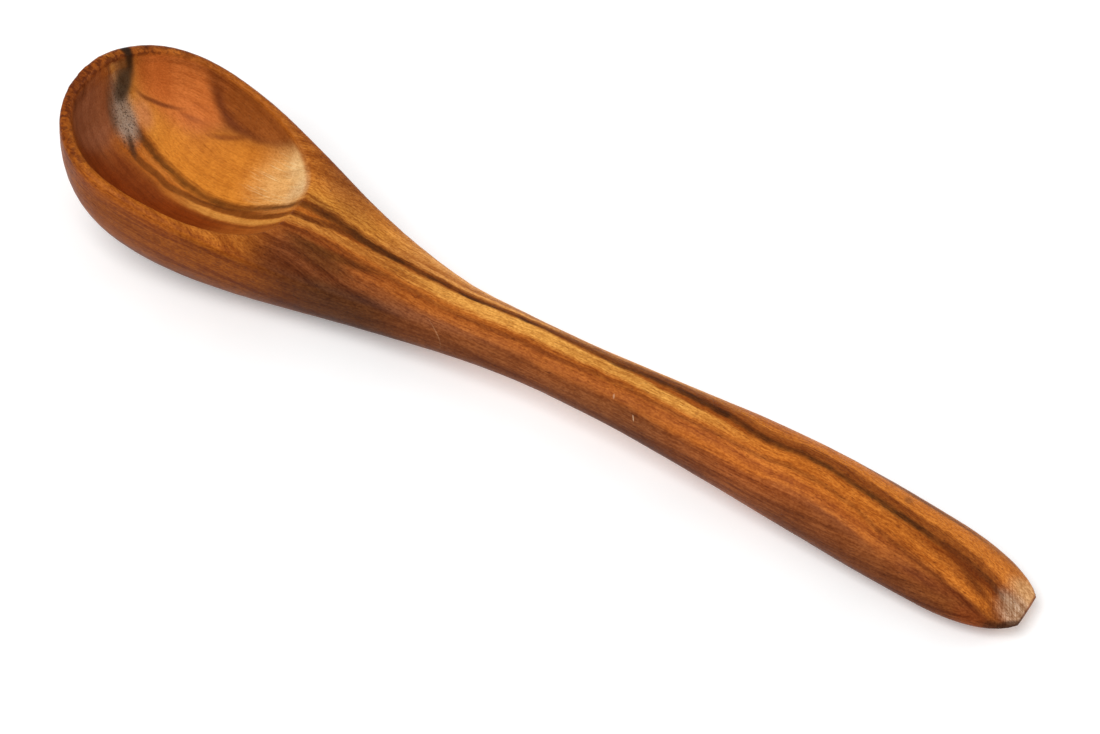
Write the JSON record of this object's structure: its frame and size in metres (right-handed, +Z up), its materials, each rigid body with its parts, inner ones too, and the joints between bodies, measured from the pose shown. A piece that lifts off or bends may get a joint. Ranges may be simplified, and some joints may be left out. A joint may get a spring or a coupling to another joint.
{
  "type": "wooden egg spoon",
  "caption": "Small egg spoon carved from one piece of olive wood, with a deep oval bowl, a narrow neck and a swelling handle that thins to a narrow, square-cut edge.",
  "frame": {"origin": "on the table under the middle of the spoon's length, as it lies on the bowl's underside and on the handle's underside near its end", "axes": "+X along the spoon from the bowl to the handle's end, +Z up out of the bowl"},
  "size_m": [0.13, 0.0258, 0.0182],
  "materials": {
    "olive_wood": "oiled, satin"
  },
  "bodies": {
    "root": {"egg_spoon": "olive_wood"}
  },
  "joints": []
}
